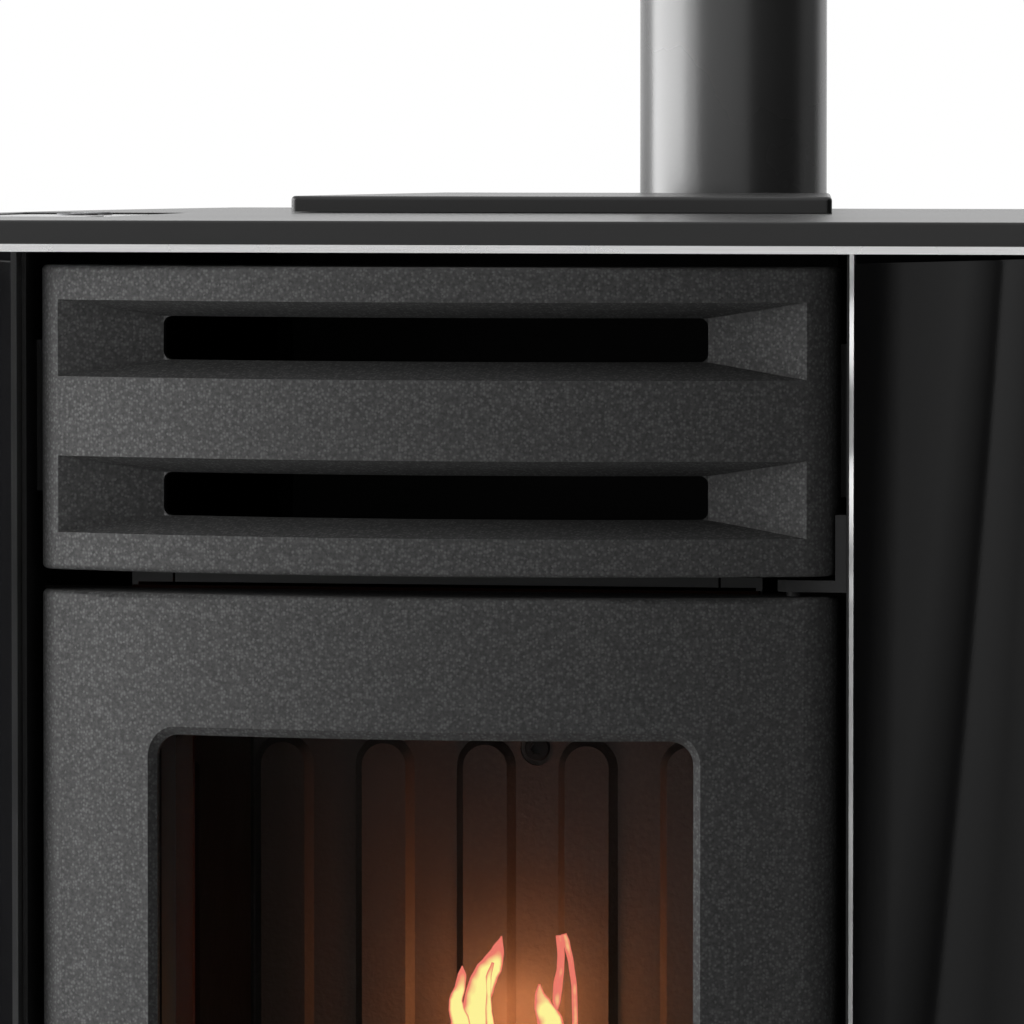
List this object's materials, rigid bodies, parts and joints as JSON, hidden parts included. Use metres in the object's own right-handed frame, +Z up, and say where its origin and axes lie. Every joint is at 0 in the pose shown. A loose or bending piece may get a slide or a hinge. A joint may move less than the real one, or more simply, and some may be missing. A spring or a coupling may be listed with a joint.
{
  "type": "pellet stove",
  "caption": "Upright pellet stove with bowed sides, a convex cast front with slotted grilles and glazed door, ash drawer, pellet hopper lid, auger feed, fans and rear flue pipe.",
  "frame": {"origin": "on the floor, in the middle of the whole outline's width and depth", "axes": "+X to the right of someone facing the stove, +Y to its back, +Z up"},
  "size_m": [0.5952, 0.7167, 1.3],
  "materials": {
    "cast_iron_paint": "dark grey stove paint with fine metallic fleck",
    "top_paint": "dark grey satin stove paint",
    "gloss_black_panel": "gloss black enamelled sheet",
    "bright_metal": "satin bright",
    "galvanised_sheet": "dark coated sheet",
    "black_sheet": "black stove paint",
    "foot_plastic": "black moulded",
    "panel_plastic": "gloss black",
    "button_rubber": "grey",
    "hinge_steel": "plain steel",
    "pan_steel": "plain steel",
    "ceramic_glass": "clear",
    "rope_seal": "braided glass rope",
    "handle_metal": "satin",
    "firebox_steel": "heat-dulled black",
    "firebox_cast": "bare cast, ash-dusted",
    "screw_steel": "zinc plated",
    "igniter_ceramic": "bare",
    "auger_steel": "plain steel",
    "motor_steel": "zinc plated",
    "aluminium_blades": "plain",
    "flue_enamel": "satin black enamel",
    "inlet_plastic": "black"
  },
  "bodies": {
    "stove_body": {"air_intake_pipe": "flue_enamel", "auger_motor": "motor_steel", "auger_tube": "galvanised_sheet", "back_plate_screw": "screw_steel", "base_plate": "galvanised_sheet", "case_screws": "screw_steel", "control_panel": "panel_plastic", "drawer_shelf": "galvanised_sheet", "exhaust_duct": "black_sheet", "exhaust_fan_housing": "black_sheet", "exhaust_fan_motor": "motor_steel", "firebox_back_plate": "firebox_cast", "firebox_flange": "firebox_steel", "firebox_shell": "firebox_steel", "flame_baffle": "firebox_steel", "flue_pipe": "flue_enamel", "flue_tee": "flue_enamel", "grate_support": "firebox_steel", "hopper": "galvanised_sheet", "igniter": "igniter_ceramic", "latch_keeper": "black_sheet", "left_edge_strip": "bright_metal", "left_fire_liner": "firebox_cast", "left_side_frame": "galvanised_sheet", "left_side_panel": "gloss_black_panel", "levelling_feet": "foot_plastic", "lid_hinge": "hinge_steel", "lower_front": "cast_iron_paint", "lower_hinge_bracket": "black_sheet", "pellet_chute": "galvanised_sheet", "power_inlet": "inlet_plastic", "rear_panel": "black_sheet", "right_edge_strip": "bright_metal", "right_fire_liner": "firebox_cast", "right_side_frame": "galvanised_sheet", "right_side_panel": "gloss_black_panel", "room_fan_housing": "galvanised_sheet", "room_fan_motor": "motor_steel", "tee_cap": "flue_enamel", "top_slab": "top_paint", "trim_plate": "bright_metal", "upper_grille": "cast_iron_paint", "upper_hinge_bracket": "black_sheet"},
    "door": {"door_casting": "cast_iron_paint", "door_glass": "ceramic_glass", "glass_retainer": "black_sheet", "door_rope_seal": "rope_seal"},
    "latch": {"latch_hook": "hinge_steel", "latch_knob": "handle_metal"},
    "ash_drawer": {"ash_drawer_front": "cast_iron_paint", "ash_drawer_pan": "pan_steel"},
    "lid": {"hopper_lid": "top_paint"},
    "fire_pot": {"burn_pot": "firebox_cast"},
    "auger": {"auger_screw": "auger_steel"},
    "exhaust_wheel": {"exhaust_impeller": "auger_steel"},
    "room_wheel": {"room_fan_wheel": "aluminium_blades"},
    "key_1": {"button_1": "button_rubber"},
    "key_2": {"button_2": "button_rubber"},
    "key_3": {"button_3": "button_rubber"},
    "rocker": {"main_switch": "inlet_plastic"}
  },
  "joints": [
    {"name": "door_swing", "type": "hinge", "parent": "stove_body", "child": "door", "pos_m": [0.1705, -0.29426, 0.65], "axis": [0, 0, 1], "range_deg": [0, 85]},
    {"name": "latch_turn", "type": "hinge", "parent": "door", "child": "latch", "pos_m": [-0.158, -0.34635, 0.6], "axis": [0, 1, 0], "range_deg": [0, 90]},
    {"name": "ash_drawer_slide", "type": "slide", "parent": "stove_body", "child": "ash_drawer", "axis": [0, -1, 0], "range_m": [0, 0.27]},
    {"name": "lid_swing", "type": "hinge", "parent": "stove_body", "child": "lid", "pos_m": [0, 0.21165, 1.04435], "axis": [-1, 0, 0], "range_deg": [0, 80]},
    {"name": "burn_pot_lift", "type": "slide", "parent": "stove_body", "child": "fire_pot", "axis": [0, 0, 1], "range_m": [0, 0.06]},
    {"name": "auger_spin", "type": "hinge", "parent": "stove_body", "child": "auger", "pos_m": [0, 0.15565, 0.5], "axis": [0, -0.7071, 0.7071], "continuous": true},
    {"name": "exhaust_fan_spin", "type": "hinge", "parent": "stove_body", "child": "exhaust_wheel", "pos_m": [0.036, 0.10565, 0.27], "axis": [1, 0, 0], "continuous": true},
    {"name": "room_fan_spin", "type": "hinge", "parent": "stove_body", "child": "room_wheel", "pos_m": [0, 0.10565, 0.115], "axis": [1, 0, 0], "continuous": true},
    {"name": "button_1_press", "type": "slide", "parent": "stove_body", "child": "key_1", "axis": [0, 0, -1], "range_m": [0, 0.0012], "stiffness_N_per_m": 800},
    {"name": "button_2_press", "type": "slide", "parent": "stove_body", "child": "key_2", "axis": [0, 0, -1], "range_m": [0, 0.0012], "stiffness_N_per_m": 800},
    {"name": "button_3_press", "type": "slide", "parent": "stove_body", "child": "key_3", "axis": [0, 0, -1], "range_m": [0, 0.0012], "stiffness_N_per_m": 800},
    {"name": "switch_rock", "type": "hinge", "parent": "stove_body", "child": "rocker", "pos_m": [-0.109, 0.22595, 0.12], "axis": [1, 0, 0], "range_deg": [0, 12]}
  ]
}
